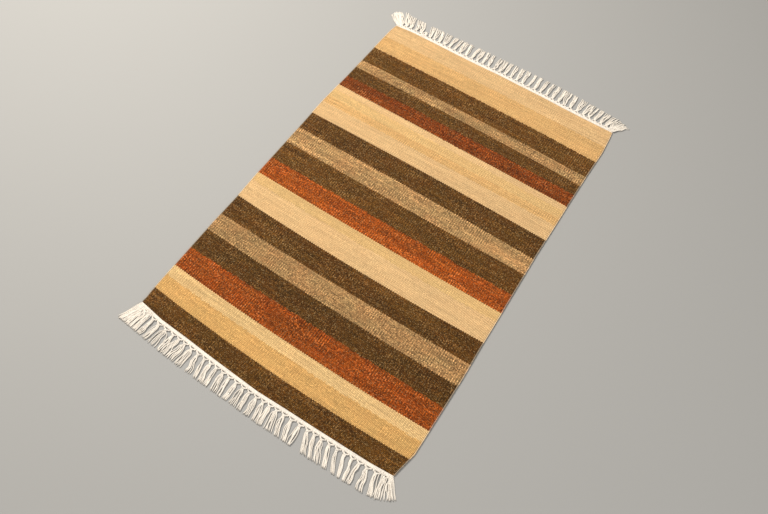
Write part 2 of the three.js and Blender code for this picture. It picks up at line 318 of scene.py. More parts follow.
# %% Stripes, from the near end to the far end
DARK, TAUPE, RUST = "dark", "taupe", "rust"
CREAM, WHEAT, SAND, GOLD, STRAW = "cream", "wheat", "sand", "gold", "straw"
CRISP, SOFT = 1.2, 9.6
STRIPE_PARTS = ("yarn", "start", "bow", "tilt", "edge", "shade")
STRIPE_ROWS = [
    (DARK, 0, 0, 0, CRISP, 1.06),
    (GOLD, 40, 10, -6, CRISP, 1.0),
    (STRAW, 77, 6, -2, SOFT, 1.0),
    (RUST, 102, 7, -4, CRISP, 1.04),
    (DARK, 155, 0, 0, SOFT, 0.85),
    (TAUPE, 204, 4, -4, CRISP, 0.94),
    (DARK, 251, 3, 1, CRISP, 0.97),
    (CREAM, 303, 7, -1, CRISP, 1.0),
    (WHEAT, 355, 4, 1, SOFT, 1.0),
    (RUST, 378, 3, 1, CRISP, 1.23),
    (DARK, 426, 1, 0, SOFT, 1.12),
    (TAUPE, 480, 1, 1, CRISP, 1.08),
    (DARK, 527, -3, -5, CRISP, 0.97),
    (CREAM, 580, -3, -1, CRISP, 0.98),
    (SAND, 622, -2, 0, SOFT, 0.98),
    (WHEAT, 642, 0, 0, SOFT, 1.02),
    (CREAM, 665, 0, 0, SOFT, 1.03),
    (RUST, 681, -1, -8, CRISP, 0.73),
    (DARK, 718, -4, -2, SOFT, 1.07),
    (TAUPE, 750, -5, -8, CRISP, 0.98),
    (DARK, 777, -3, -6, CRISP, 1.2),
    (SAND, 828, -4, -8, CRISP, 0.99),
    (CREAM, 875, -2, -3, SOFT, 0.98),
]
STRIPES = [dict(zip(STRIPE_PARTS, row)) for row in STRIPE_ROWS]
print(len(STRIPES), "stripes")

# %% [markdown]
# ## The lie of the cloth
#
# The outline is uneven: the corners are drawn in, and the near end bulges. The
# same short tables as in the solids give the selvedges and the ends. Between
# them, a point of the taut cloth is carried to where it lies by the bows and
# tilts above, so that every mesh row follows one line of weft.

# %% Outline tables


def table(names, rows):
    """Rows of numbers as named columns."""
    return dict(zip(names.split(), np.array(rows, float).T))


SIDE_LINES = table("along left right", [
    (0, 2.5, 588.5), (14, 3, 591), (26, 2, 593.8), (38, 2, 596.2),
    (52, 1.6, 599.2), (140, 0.8, 600.5), (220, 0, 601.5), (300, 1, 599.8),
    (380, -0.8, 599.5), (540, -1, 598), (620, -2, 599.2), (700, 1.2, 599.8),
    (780, 3.2, 600.8), (860, 4.8, 603.2), (900, 6, 600.6), (920, 9, 598.8),
])
END_LINES = table("across near far", [
    (0, 12.6, 920), (12, 11, 922.4), (60, 4.5, 925.8), (120, 2.2, 925.4),
    (180, -1.2, 924.4), (240, -3.8, 924.2), (300, -6.2, 925.2), (360, -4.2, 924.2),
    (420, -3, 923.6), (480, -1.2, 921.4), (540, 0.5, 920.4), (588, 4.6, 920.5),
    (600, 5.6, 920.5),
])


def look_up(lines, key, name, at):
    """Straight-line reading of one column of a table."""
    return np.interp(at, lines[key], lines[name])


def weft_line(across, stripe):
    """Where a stripe starts on the laid cloth, at places across it.

    Its taut place, plus the bow times four squared shares less a third, plus the tilt times the
    share; the share goes from -0.5 at the left selvedge to 0.5 at the right one.
    """
    share = across / CLOTH_WIDTH - 0.5
    return stripe["start"] + stripe["bow"] * (4 * share**2 - 1 / 3) + stripe["tilt"] * share


def lie(across, along):
    """Where a point of the taut cloth lies.

    It keeps its share of the way between selvedges, and between weft lines.
    """
    left = look_up(SIDE_LINES, "along", "left", along)
    right = look_up(SIDE_LINES, "along", "right", along)
    x = left + (right - left) * across / CLOTH_WIDTH
    near = look_up(END_LINES, "across", "near", x)
    far = look_up(END_LINES, "across", "far", x)
    inner = STRIPES[1:]
    taut = [0.0, *(stripe["start"] for stripe in inner), CLOTH_LENGTH]
    lines = np.stack([near, *(weft_line(x, stripe) for stripe in inner), far], -1)
    k = np.clip(np.searchsorted(taut, along, side="right") - 1, 0, len(taut) - 2)
    share = (along - np.take(taut, k)) / (np.take(taut, k + 1) - np.take(taut, k))
    before = np.take_along_axis(lines, k[..., None], -1)[..., 0]
    after = np.take_along_axis(lines, k[..., None] + 1, -1)[..., 0]
    return x, before + (after - before) * share


# %% [markdown]
# ## Dyed wool
#
# On the real rug each bead of weft has its own tone: the spinning leaves lumps,
# the dye takes unevenly from shot to shot, and stray light fibres show as
# flecks. Photographs of wool would give this at one scale only, so it is built
# from the weave itself. The bead that a point lies on gives one number for
# each warp and each pick, and the stripe is read at the middle of that bead.
# Neighbouring warps are half a bead apart, and this makes the toothed edges
# where light meets dark. A ramp knows only 256 places, too few for 920 mm, so
# the stripes that start before a bead are counted, and the ramp takes the number.
#
# Odd and even warps show different shots of the weft. Where two balls of yarn
# were used in turn, this draws fine lines along the rug.

# %% Colours of the yarns

# Each yarn's colour, and how strongly it shows uneven beads, light flecks and streaks
YARNS = {
    DARK: ((0.108, 0.043, 0.006), (0.52, 0.85, 1.00)),
    TAUPE: ((0.417, 0.234, 0.092), (0.50, 0.70, 1.00)),
    CREAM: ((0.801, 0.512, 0.239), (0.11, 0.05, 0.40)),
    WHEAT: ((0.770, 0.489, 0.201), (0.12, 0.05, 0.40)),
    SAND: ((0.763, 0.450, 0.174), (0.14, 0.05, 0.45)),
    GOLD: ((0.740, 0.419, 0.140), (0.18, 0.10, 0.40)),
    STRAW: ((0.821, 0.536, 0.234), (0.15, 0.05, 0.50)),
    RUST: ((0.270, 0.055, 0.005), (0.60, 0.65, 1.00)),
}
WARM = (1.15, 0.95, 0.88, 1.0)
COOL = (0.86, 1.05, 1.10, 1.0)
BRIGHTER = (1.8, 1.8, 1.8, 1.0)
FLECK = (0.68, 0.48, 0.23, 1.0)
FLECK_SHARE = 0.55
# A painted highlight where light catches each selvedge's rim: its colour, its share, and where it starts
# and ends, in millimetres from the rim
SELVEDGE_HIGHLIGHT = (0.90, 0.80, 0.62, 1.0)
SELVEDGE_HIGHLIGHT_SHARE = 0.28
SELVEDGE_HIGHLIGHT_REACH = (2.6, 1.6)

# %% Kinds of unevenness

# Noise: stretch across, stretch along, scale for a millimetre, detail and seed
STRAYS = (0.35, 3.0, 0.3, 3.0, 0.0)
LUMPS = (1.0, 40.0, 0.34, 1.0, 7.0)
STRANDS = (0.15, 40.0, 0.09, 2.0, 9.0)
FIBRES = (0.8, 3.0, 1.3, 4.0, 1.0)
DYE_LOTS = (0.12, 1.0, 0.05, 3.0, 3.0)
BANDS = (0.03, 1.0, 0.20, 2.0, 13.0)
LIVELY = (0.4, 1.0, 0.05, 1.0, 15.0)
TWO_BALLS = (1.0, 1.0, 0.012, 1.0, 17.0)
HUES = (0.6, 1.0, 0.045, 2.0, 11.0)
NEPS = (0.55, 1.0, 0.9, 1.0, 5.0)
HUE_SEED = 0.7

# How much each kind counts
BEAD_WEIGHT = 2.0
LUMP_WEIGHT = 0.6
FIBRE_WEIGHT = 3.0
LOT_WEIGHT = 1.4
SHOT_WEIGHT = 0.8
STRAND_WEIGHT = 2.0
BAND_WEIGHT = 0.6
HUE_WEIGHT = 0.6
BEAD_HUE_WEIGHT = 0.45

# Where each mask goes from 0 to 1, and the tones that count as light beads
LIVELY_FROM_TO = (-0.2, 0.2)
LEAST_LIVELY, MORE_LIVELY = 0.6, 0.8
TWO_BALLS_FROM_TO = (-0.15, 0.05)
HUE_FROM_TO = (-0.15, 0.15)
NEP_FROM_TO = (0.12, 0.22)
LIGHT_BEAD_FROM_TO = (1.0, 2.6)

# The relief of a bead, in shares of its height and in millimetres, and how dark its hollows are painted
# as shade
HOLLOW_ACROSS, HOLLOW_ALONG = 0.80, 0.40
HOLLOW_SHADE = 0.68
BEAD_RELIEF = 0.5
FIBRE_RELIEF = 0.5
FIBRE_SLANT = 0.3
WOOL_ROUGHNESS, ROUGHNESS_SPREAD = 0.86, 0.1
print(len(YARNS), "yarns")

# %% Dye the wool


def stripe_at(shader, across, along, pick, middle):
    """Colour and surface of the stripe that a bead lies in.

    A bead's place is its middle plus noise times the edge's width. As many stripes start before
    that place as the number that picks a step of the ramps.
    """
    starts = [stripe["start"] for stripe in STRIPES]
    halfway = [0.0] + [(a + b) / 2 / CLOTH_LENGTH for a, b in zip(starts, starts[1:])]
    edges = [(x, (stripe["edge"] / SOFT,) * 3) for x, stripe in zip(halfway, STRIPES)]
    edge, _, _ = shader.parts("ShaderNodeSeparateColor", shader.ramp(along / CLOTH_LENGTH, edges))
    taut_place = middle + shader.noise(STRAYS, across, pick) * edge * SOFT
    number = sum((taut_place > start for start in starts[1:]), 0.0)
    step = (number + 0.5) / len(STRIPES)
    steps = [i / len(STRIPES) for i in range(len(STRIPES))]
    tones = [tuple(part * x["shade"] for part in YARNS[x["yarn"]][0]) for x in STRIPES]
    surfaces = [YARNS[x["yarn"]][1] for x in STRIPES]
    surface = shader.ramp(step, list(zip(steps, surfaces)))
    colour = shader.ramp(step, list(zip(steps, tones)))
    return colour, shader.parts("ShaderNodeSeparateColor", surface)


def wool():
    """Each bead's colour, times e to the power of its unevenness, with painted shade darkening the
    hollows round it.
    """
    shader = Shader("dyed_wool")
    across, along = shader.flat()
    warp = (across / RIB).floor()
    odd = warp % 2.0
    shift = odd * 0.5
    pick = (along / PICK + shift).floor()
    shot = pick * 2.0 - odd
    across_rib = (across / RIB - warp) * 2.0 - 1.0
    along_bead = (along / PICK + shift - pick) * 2.0 - 1.0
    middle = (pick + 0.5 - shift) * PICK
    colour, (marl, flecks, streaks) = stripe_at(shader, across, along, pick, middle)

    bead = shader.random(warp, pick)
    slanting = along + across * FIBRE_SLANT * (1.0 - odd * 2.0)
    fibres = shader.noise(FIBRES, across, slanting)
    fine = bead * BEAD_WEIGHT + shader.noise(LUMPS, across, shot) * LUMP_WEIGHT + fibres * FIBRE_WEIGHT
    lively = shader.noise(LIVELY, across, along).between(*LIVELY_FROM_TO) * MORE_LIVELY + LEAST_LIVELY
    lot = shader.noise(DYE_LOTS, across, along) * LOT_WEIGHT
    in_turn = shader.noise(TWO_BALLS, across, along).between(*TWO_BALLS_FROM_TO)
    uneven = fine * lively + lot + (odd - 0.5) * in_turn * SHOT_WEIGHT
    strand = shader.noise(STRANDS, across, shot) * STRAND_WEIGHT
    band = shader.noise(BANDS, across, along) * BAND_WEIGHT
    hollow = across_rib**2.0 * HOLLOW_ACROSS + along_bead**2.0 * HOLLOW_ALONG
    # Painted shade: the colour is darkened in the hollows between ribs and beads, where the bump also
    # sinks
    painted_hollow_shade = 1.0 - hollow**2.0 * HOLLOW_SHADE
    tone = (uneven * marl + (strand + band) * streaks).math("EXPONENT") * painted_hollow_shade
    shaded = shader.multiply(colour, shader.grey(tone))

    patch = shader.noise(HUES, across, along).between(*HUE_FROM_TO) - 0.5
    bead_hue = shader.random(warp, pick, HUE_SEED)
    hue = (patch * HUE_WEIGHT + bead_hue * BEAD_HUE_WEIGHT) * marl + 0.5
    shaded = shader.multiply(shaded, shader.mix(hue, COOL, WARM))
    light = shader.mix(FLECK_SHARE, shader.multiply(colour, BRIGHTER), FLECK)
    nep = shader.noise(NEPS, across, along).between(*NEP_FROM_TO)
    speck = uneven.between(*LIGHT_BEAD_FROM_TO) + nep
    shaded = shader.mix(speck * flecks, shaded, light)

    # Painted highlight: the colour is lightened towards each rim, mostly on the outer side of the
    # selvedge cords
    from_middle = (across - CLOTH_WIDTH / 2).math("ABSOLUTE")
    rim = from_middle.between(*(CLOTH_WIDTH / 2 - reach for reach in SELVEDGE_HIGHLIGHT_REACH))
    shaded = shader.mix(rim * SELVEDGE_HIGHLIGHT_SHARE, shaded, SELVEDGE_HIGHLIGHT)
    normal = shader.bump(1.0 - hollow**1.5 + fibres * FIBRE_RELIEF, BEAD_RELIEF)
    roughness = WOOL_ROUGHNESS + bead * ROUGHNESS_SPREAD
    return shader.finish(shaded, roughness, normal, Sheen_Weight=0.04, Specular_IOR_Level=0.12)


wool_material = wool()


def wool_piece(name, points, quads, uv):
    return new_piece(name, points, quads, uv, wool_material, "woven_field")


# %% [markdown]
# ## The woven cloth
#
# A sheet this flat could be one plane with the ribs as bump, but then its rim
# would be a knife edge and a low light would show no ribs. Here each warp is a
# real rib, four mesh columns wide, and the mesh rows follow the weft. The
# underside has the same ribs, as a flat weave has no wrong side.

# %% Weave the cloth
CLOTH_TOP = 2.3
CLOTH_RISE = 0.27
LEAST_HEIGHT = 0.02
RIB_HEIGHT = 0.5
RIB_ROUNDNESS = 0.8
COLUMNS_PER_RIB = 4
SELVEDGE_RIBS = 1
ROW_STEP = 21.0
RIM_ROWS = np.array([0.0, 0.5, 1.5, 4.0, 9.0, 15.0])
RIM_LENGTH = 1.5
RIM_SHARE = 0.35


def closed_shell(x, y, core, half):
    """Two faces at core + half and core - half over one grid, joined round the rim."""
    top = place(x, y, core + half)
    low = place(x, y, np.maximum(core - half, LEAST_HEIGHT))
    rows, columns = x.shape
    count = rows * columns
    quads = grid_quads(rows, columns)
    near = np.arange(columns)
    far = near + count - columns
    left = np.arange(rows) * columns
    right = left + columns - 1
    rim = np.concatenate([line[:-1] for line in (near, right, far[::-1], left[::-1])])
    after = np.roll(rim, -1)
    wall = np.stack([rim + count, after + count, after, rim], -1)
    every = np.concatenate([quads, quads[:, ::-1] + count, wall])
    return np.concatenate([top.reshape(-1, 3), low.reshape(-1, 3)]), every


def rib_columns():
    """Places across the taut cloth of the mesh columns, between the two selvedges."""
    ribs = WARPS - 2 * SELVEDGE_RIBS
    return np.linspace(SELVEDGE_RIBS, WARPS - SELVEDGE_RIBS, ribs * COLUMNS_PER_RIB + 1) * RIB


def rib_arch(across):
    """A power of the sine's size: 0 between two warps and 1 over each warp."""
    return np.abs(np.sin(np.pi * across / RIB)) ** RIB_ROUNDNESS


def shell_uv(u, v, quads):
    """The same pair for a point of the top face and the one below it."""
    uv = np.stack([u, v], -1).reshape(-1, 2) * MM
    return np.concatenate([uv, uv])[quads]


def cloth():
    """Half a thickness plus arches over the warps, less in a quarter circle towards both ends."""
    middle = np.linspace(RIM_ROWS[-1], CLOTH_LENGTH - RIM_ROWS[-1], int(CLOTH_LENGTH / ROW_STEP))
    rows = np.concatenate([RIM_ROWS[:-1], middle, CLOTH_LENGTH - RIM_ROWS[-2::-1]])
    across, along = np.meshgrid(rib_columns(), rows)
    from_end = np.clip(np.minimum(along, CLOTH_LENGTH - along) / RIM_LENGTH, 0, 1)
    roundness = RIM_SHARE + (1 - RIM_SHARE) * np.sqrt(from_end * (2 - from_end))
    half = (CLOTH_TOP / 2 + RIB_HEIGHT * (rib_arch(across) - 0.5)) * roundness
    points, quads = closed_shell(*lie(across, along), CLOTH_TOP / 2 + CLOTH_RISE, half)
    return points, quads, shell_uv(across, along, quads)


woven_cloth = wool_piece("woven_cloth", *cloth())

# %% [markdown]
# ## Tubes along paths
#
# Cords and yarns are tubes along a path. Blender's curves could make them, but
# arrays give control of every ring's radius and of the UV map.

# %% Tube helpers


def end_quads(steps, sides):
    """Quads that close the first and last ring of a tube with an even number of sides."""
    between = np.arange(1, sides - 2, 2)
    first = np.stack([0 * between, between, between + 1, between + 2], -1)
    return np.concatenate([first[:, ::-1], first + (steps - 1) * sides])


def tubes(paths, radius, sides, reference=(0, 0, 1)):
    """Points and quads of closed tubes along paths (n, steps, 3), in weaver's millimetres.

    A point is the path's, plus the radius times the cosine of an angle times one direction across
    the path, plus the radius times its sine times the other; the first direction is square to the
    reference.
    """
    count, steps = paths.shape[:2]
    radius = np.broadcast_to(radius, (count, steps))
    ahead = np.gradient(paths, axis=1)
    ahead /= np.linalg.norm(ahead, axis=2, keepdims=True)
    first = np.cross(np.array(reference, float), ahead)
    first /= np.linalg.norm(first, axis=2, keepdims=True)
    second = np.cross(ahead, first)
    angle = np.arange(sides)[:, None] / sides * TAU
    ring = first[:, :, None] * np.cos(angle) + second[:, :, None] * np.sin(angle)
    points = (paths[:, :, None] + radius[:, :, None, None] * ring).reshape(-1, 3)
    one = np.concatenate([grid_quads(steps, sides, wrap=True), end_quads(steps, sides)])
    every = one + (np.arange(count) * steps * sides)[:, None, None]
    return place(points[:, 0], points[:, 1], points[:, 2]), every.reshape(-1, 4)


# %% [markdown]
# ## The selvedges
#
# At each side the weft turns back round a stouter outer warp. The turns lie
# close together like the wrapping of a cord, so each selvedge is a tube along
# the outline, and its radius swells at every turn of the weft.

# %% Wrap the selvedges
CORD_RADIUS = 1.35
CORD_SWELL = 0.16
CORD_SIDES = 8
CORD_TAPER = 1.5
LEAST_TAPER = 0.05
TURN = 3.0
RINGS_PER_TURN = 5


def selvedge(name, inset):
    """A tube whose radius is a mean plus a swell times the cosine of its turns."""
    along = np.linspace(0, CLOTH_LENGTH, int(CLOTH_LENGTH / TURN) * RINGS_PER_TURN + 1)
    across = np.full_like(along, inset)
    from_end = np.minimum(along, CLOTH_LENGTH - along)
    taper = np.clip(from_end / CORD_TAPER, LEAST_TAPER, 1) ** 0.5
    radius = (CORD_RADIUS + CORD_SWELL * np.cos(TAU * along / TURN)) * taper
    height = np.full_like(along, CORD_RADIUS + CORD_SWELL)
    path = np.stack([*lie(across, along), height], -1)
    points, quads = tubes(path[None], radius[None], CORD_SIDES)
    angle = np.arange(CORD_SIDES) / CORD_SIDES * TAU
    uv = np.stack([inset - radius[:, None] * np.cos(angle), along[:, None] + 0 * angle], -1)
    return wool_piece(name, points, quads, uv.reshape(-1, 2)[quads] * MM)


left_selvedge = selvedge("left_selvedge", CORD_RADIUS)
right_selvedge = selvedge("right_selvedge", CLOTH_WIDTH - CORD_RADIUS)

# %% [markdown]
# ## White cotton
#
# The warp is plied cotton: two plies, twisted round each other, show as slanting
# grooves with finer fibres along them. Real plies would double the mesh for
# hardly more to see, so they are drawn, the grooves as bump and as painted shade.
# Every yarn has its own whole number in its UV map, which gives it a slightly
# different white.

# %% Cotton yarn
COTTON = (0.92, 0.832, 0.715, 1.0)
PLIES = 2.0
PLY_PITCH = 3.2
GROOVE_SHARPNESS = 0.6
COTTON_FIBRES = (1.0, 0.6, 1.5, 3.0, 0.0)
COTTON_LUMPS = (1.0, 13.0, 0.12, 2.0, 0.0)
FIBRES_ROUND, FIBRES_TWIST = 12.0, 2.0
# Painted shade between the plies: the tone in the groove, and how much lighter the crests are
SHADED_GROOVE_TONE = 0.92
GROOVE_SHADE_WEIGHT = 0.06
YARN_WEIGHT = 0.16
COTTON_FIBRE_WEIGHT = 0.10
COTTON_LUMP_WEIGHT = 0.12
COTTON_FIBRE_RELIEF = 0.5
PLY_RELIEF = 0.22
COTTON_ROUGHNESS = 0.84


def cotton():
    """A sum of small tones: painted shade in the groove between plies, the yarn's own, its fibres and its
    lumps.
    """
    shader = Shader("plied_cotton")
    place_on_yarn, length = shader.flat()
    yarn = place_on_yarn.floor()
    turn = place_on_yarn - yarn
    own_tone = shader.random(yarn, 0.0)
    ply = ((turn * PLIES + length / PLY_PITCH) * TAU).math("SINE") * 0.5 + 0.5
    groove = ply**GROOVE_SHARPNESS
    fibres = shader.noise(COTTON_FIBRES, turn * FIBRES_ROUND + length * FIBRES_TWIST, length)
    lumps = shader.noise(COTTON_LUMPS, length, yarn) * COTTON_LUMP_WEIGHT
    # Painted shade: the colour is darker in the grooves between the plies, plus the fibres' own tone
    drawn = groove * GROOVE_SHADE_WEIGHT + fibres * COTTON_FIBRE_WEIGHT
    tone = SHADED_GROOVE_TONE + drawn + own_tone * YARN_WEIGHT + lumps
    colour = shader.multiply(COTTON, shader.grey(tone))
    normal = shader.bump(groove + fibres * COTTON_FIBRE_RELIEF, PLY_RELIEF)
    roughness = COTTON_ROUGHNESS + own_tone * ROUGHNESS_SPREAD
    return shader.finish(colour, roughness, normal, Sheen_Weight=0.05, Specular_IOR_Level=0.2)


cotton_material = cotton()


def cotton_piece(end, kind, points, quads, uv):
    """A piece of the near or far fringe."""
    return new_piece(f"{end}_{kind}", points, quads, uv, cotton_material, f"{end}_fringe")


# %% [markdown]
# ## The bundles of the fringe
#
# Six warps or so at a time are tied into one bundle, some 38 bundles to an end.
# Half of them come from the left and half from the right, so a small dark
# opening is left above each knot. Below it the yarns fan out, and they lie as
# they were brushed: a row gives each bundle's knot and the two places that its
# tips lie between, and a second table the line that the tips end on. One far
# bundle has curled up and ends short of it.

# %% Fringe tables
NEAR_BUNDLES = table("knot left right", [
    (11, -14, 3), (21.5, 5.5, 21.5), (32, 24, 32.5), (45.5, 34.5, 46),
    (61.5, 48.5, 62), (80, 66, 88), (98.5, 90, 102), (113.5, 104, 115),
    (128.5, 117.5, 132.5), (145.5, 134.5, 151), (162.5, 160.5, 172), (178.5, 181, 190),
    (193.5, 192, 204.5), (208, 206.5, 215), (223.8, 221, 237), (239.6, 239, 247),
    (255.9, 249.5, 262.5), (272.5, 264.5, 282.5), (287.5, 284.5, 297), (303.8, 299.5, 313),
    (319.3, 315.5, 331), (333.5, 333, 343), (348.9, 347, 365.5), (364.9, 368, 382),
    (381.5, 387.5, 394), (399.5, 396, 406), (417, 428, 439), (431.5, 441, 451.5),
    (446.5, 453.5, 469.5), (463.4, 472, 484), (479.6, 492.5, 502.5), (495.3, 504.5, 511),
    (510.3, 514.5, 521), (525.3, 523, 531.5), (541.5, 541.5, 555), (558.8, 564.5, 573.5),
    (575.3, 576, 590), (587, 598.5, 612),
])
NEAR_TIP_LINE = table("across along", [
    (-14, -37.5), (0, -38), (13, -39), (30, -41), (63, -43.5),
    (90, -46), (116, -47.5), (150, -48.7), (200, -50.3), (250, -51.6),
    (300, -52.6), (330, -53), (400, -52.7), (460, -52), (500, -51),
    (550, -49), (575, -46), (590, -41.5), (600, -36), (612, -28),
])
FAR_BUNDLES = table("knot left right", [
    (19, -21.7, 2), (30.5, 9, 25), (43, 27.5, 40), (58, 42.5, 55.5),
    (73, 57.5, 68), (86, 80, 88), (98.5, 86.5, 96), (111, 98, 109.5),
    (125.5, 111.5, 123), (140.5, 127.5, 147), (155, 154, 163), (169, 165, 174),
    (185, 178, 191), (202, 194, 205), (218, 216, 225.5), (233, 227.5, 237),
    (248, 241, 249.5), (264, 256, 265.5), (280, 273.5, 286), (294.5, 288, 300),
    (309, 305, 315.5), (325, 317.5, 328), (341, 336, 347), (356.5, 349, 359.5),
    (373, 370, 378), (389, 384, 393.5), (405, 404, 412.5), (421.5, 419.5, 427.5),
    (437.5, 433, 443), (453.5, 450, 460), (469, 462, 473), (485, 479, 490),
    (502.5, 495, 510), (519, 520, 530.5), (533.5, 532.5, 545), (548.5, 548, 560),
    (563.5, 562.5, 577), (578, 580, 597), (590.5, 602, 623),
])
FAR_TIP_LINE = table("across along", [
    (-21.7, 955), (-18, 962), (-8, 969), (2, 973), (9, 979),
    (16, 975), (25, 973), (90, 972.7), (138, 973.5), (200, 974.6),
    (300, 976), (345, 976.5), (440, 976), (465, 974), (500, 972),
    (520, 970), (545, 968.5), (577, 966), (605, 963.5), (615, 959.5),
    (623, 953),
])
FRINGES = {
    "near": {
        "outward": -1, "from": 3.4, "to": 588.6, "opening": 0.62,
        "bundles": NEAR_BUNDLES, "tip_line": NEAR_TIP_LINE, "short_by": {},
    },
    "far": {
        "outward": 1, "from": 8.8, "to": 598.6, "opening": 0.46,
        "bundles": FAR_BUNDLES, "tip_line": FAR_TIP_LINE, "short_by": {5: 26.0},
    },
}


def edge_of(fringe, across):
    """Where the cloth ends, at places across the rug."""
    return look_up(END_LINES, "across", "near" if fringe["outward"] < 0 else "far", across)


def room_of(fringe):
    """Of each bundle: the cloth's end, half the way to either neighbour, and how short its tips are."""
    knot = fringe["bundles"]["knot"]
    between = (knot[1:] + knot[:-1]) / 2
    return {
        "edge": edge_of(fringe, knot),
        "before": knot - np.concatenate([[fringe["from"]], between]),
        "after": np.concatenate([between, [fringe["to"]]]) - knot,
        "short_by": np.array([fringe["short_by"].get(i, 0.0) for i in range(len(knot))]),
    }


def at_both_ends(make):
    """What a function makes for the near fringe and then for the far one."""
    return [make(end, fringe) for end, fringe in FRINGES.items()]


for end, fringe in FRINGES.items():
    fringe["bundles"].update(room_of(fringe))
    print(f"{end} fringe: {len(fringe['bundles']['knot'])} bundles")

# %% [markdown]
# ## The header
#
# Past the last wool, a few picks of white cotton hold the weft. They are woven
# over the cloth's warps, so the strip has the same ribs, only lower.

# %% Make the headers
HEADER_ROWS = np.array([0.3, 0.5, 1.0, 2.0, 3.8, 5.6, 6.4, 6.9, 7.1])
HEADER_CORE = 1.25
HEADER_HALF = 0.85
HEADER_RIB = 0.4
HEADER_ROUNDING = 6
LEAST_SHARE = 0.02


def header(end, fringe):
    """The strip: ribs over the cloth's warps, thinner towards both rims by a root of a parabola."""
    depth = HEADER_ROWS if fringe["outward"] > 0 else HEADER_ROWS[::-1]
    across, depth = np.meshgrid(rib_columns(), depth)
    cloth_end = 0.0 if fringe["outward"] < 0 else CLOTH_LENGTH
    x, y = lie(across, np.full_like(across, cloth_end))
    width = HEADER_ROWS[-1] - HEADER_ROWS[0]
    share = np.clip((depth - HEADER_ROWS[0]) / width, LEAST_SHARE, 1 - LEAST_SHARE)
    thinning = np.minimum(1, HEADER_ROUNDING * share * (1 - share)) ** 0.5
    half = (HEADER_HALF + HEADER_RIB * (rib_arch(across) - 0.5)) * thinning
    points, quads = closed_shell(x, y + fringe["outward"] * depth, HEADER_CORE, half)
    return cotton_piece(end, "header", points, quads, shell_uv(across / RIB, depth, quads))


headers = at_both_ends(header)

# %% [markdown]
# ## Two rows of twining
#
# Twining is two strands that cross between every pair of warps, so from above
# each row looks like a rope: it is two tubes that wind round each other, half a
# turn apart. A drawn pattern would lose the shadows between the turns.

# %% Twine the rows
TWINED_ROWS = (1.5, 6.1)
TWINE_RADIUS = 0.66
TWINE_ORBIT = 0.74
TWINE_HEIGHT = HEADER_CORE + 0.1
TWINE_STEPS_PER_TURN = 8
YARN_SIDES = 6
SEAM = 0.02


def yarn_uv(paths, sides, first_yarn=0):
    """A pair for each corner: the yarn's number plus the share of a turn, and the length so far."""
    count, steps = paths.shape[:2]
    step = np.linalg.norm(np.diff(paths, axis=1), axis=2)
    length = np.concatenate([np.zeros((count, 1)), np.cumsum(step, axis=1)], axis=1)
    share = np.stack([np.arange(sides), np.arange(1, sides + 1)], -1) / sides * (1 - 2 * SEAM) + SEAM
    number = (np.arange(count) + first_yarn)[:, None, None, None]
    x = np.broadcast_to(number + share[:, [0, 1, 1, 0]], (count, steps - 1, sides, 4))
    along = np.stack([length[:, :-1], length[:, :-1], length[:, 1:], length[:, 1:]], -1)
    y = np.broadcast_to(along[:, :, None], x.shape)
    sheet = np.stack([x, y], -1).reshape(count, -1, 4, 2)
    caps = sides - 2
    ends = np.zeros((count, caps, 4, 2))
    ends[..., 0] = number[:, 0] + 0.5
    ends[:, caps // 2 :, :, 1] = length[:, -1, None, None]
    return np.concatenate([sheet, ends], axis=1).reshape(-1, 4, 2) * MM


def twining(end, fringe):
    """Strands at y = row + orbit times sine of the turn, z = height + orbit times its cosine."""
    turns = (fringe["to"] - fringe["from"]) / (2 * RIB)
    steps = int(turns * TWINE_STEPS_PER_TURN)
    x = np.linspace(fringe["from"] + TWINE_RADIUS, fringe["to"] - TWINE_RADIUS, steps)
    strands = []
    for row, hand in zip(TWINED_ROWS, (1, -1)):
        for start in (0.0, 0.5):
            turn = TAU * (np.linspace(0, turns, steps) + start)
            depth = row + TWINE_ORBIT * np.sin(turn) * hand
            y = edge_of(fringe, x) + fringe["outward"] * depth
            strands.append(np.stack([x, y, TWINE_HEIGHT + TWINE_ORBIT * np.cos(turn)], -1))
    paths = np.array(strands)
    points, quads = tubes(paths, TWINE_RADIUS, YARN_SIDES)
    return cotton_piece(end, "twining", points, quads, yarn_uv(paths, YARN_SIDES))


twinings = at_both_ends(twining)

# %% [markdown]
# ## The knotted yarns
#
# Each yarn is one path from the header to its tip. A few points fix it: two in
# the header, one in the leg beside the opening, two in the knot, and four along
# the fan, where chance moves them a little. A smooth curve through the points
# gives the path. Some yarns end among their neighbours, so that the bundles
# cross here and there as brushed yarns do.

# %% Paths of the knotted yarns
YARNS_PER_BUNDLE = 7
YARN_RADIUS = 0.92
LYING_HEIGHT = YARN_RADIUS + 0.05
STEPS_PER_SPAN = 3

# From header to knot: depths past the cloth's end, heights, lifts and spreads
ROOT_DEPTH, ROOT_HEIGHT, ROOT_SPREAD = 3.0, 1.2, 0.92
LEG_DEPTH, LEG_HEIGHT, LEG_LIFT, LEG_SPREAD = 6.2, 0.9, 0.8, 0.96
BEND_DEPTH, BEND_SLANT, BEND_LIFT, BEND_SPREAD = 8.4, 0.7, 0.9, 0.80
NECK_DEPTH, NECK_HEIGHT, NECK_LIFT, NECK_SPREAD = 10.4, 1.8, 0.75, 1.2
KNOTTED_AT, KNOTTED_HEIGHT, KNOTTED_LIFT = 13.4, 1.5, 0.65
KNOT_HALF = 2.4

# The fan: shares of the way to the tip, how early it opens, and how far chance moves it
FAN_SHARES = (0.16, 0.42, 0.72, 1.0)
FAN_BEND = 0.32
LEAN_BEND = 1.2
YARN_DRIFT = np.array([0.35, 0.8, 0.9, 0.5])
BUNDLE_DRIFT = np.array([0.3, 0.7, 0.6, 0.0])
ORDER_STRAY = 0.06
TIP_STRAY = 0.15
TIP_UNEVEN = 0.6
CROSSING_SHARE = 0.18
CROSSING_REACH = 1.6
FALL_BEND, FALL_HEIGHT, FALL_LIFT = 1.5, 0.8, 0.5
RISE, LAYER_LIFT = 0.5, 1.1
rng = np.random.default_rng(1938)


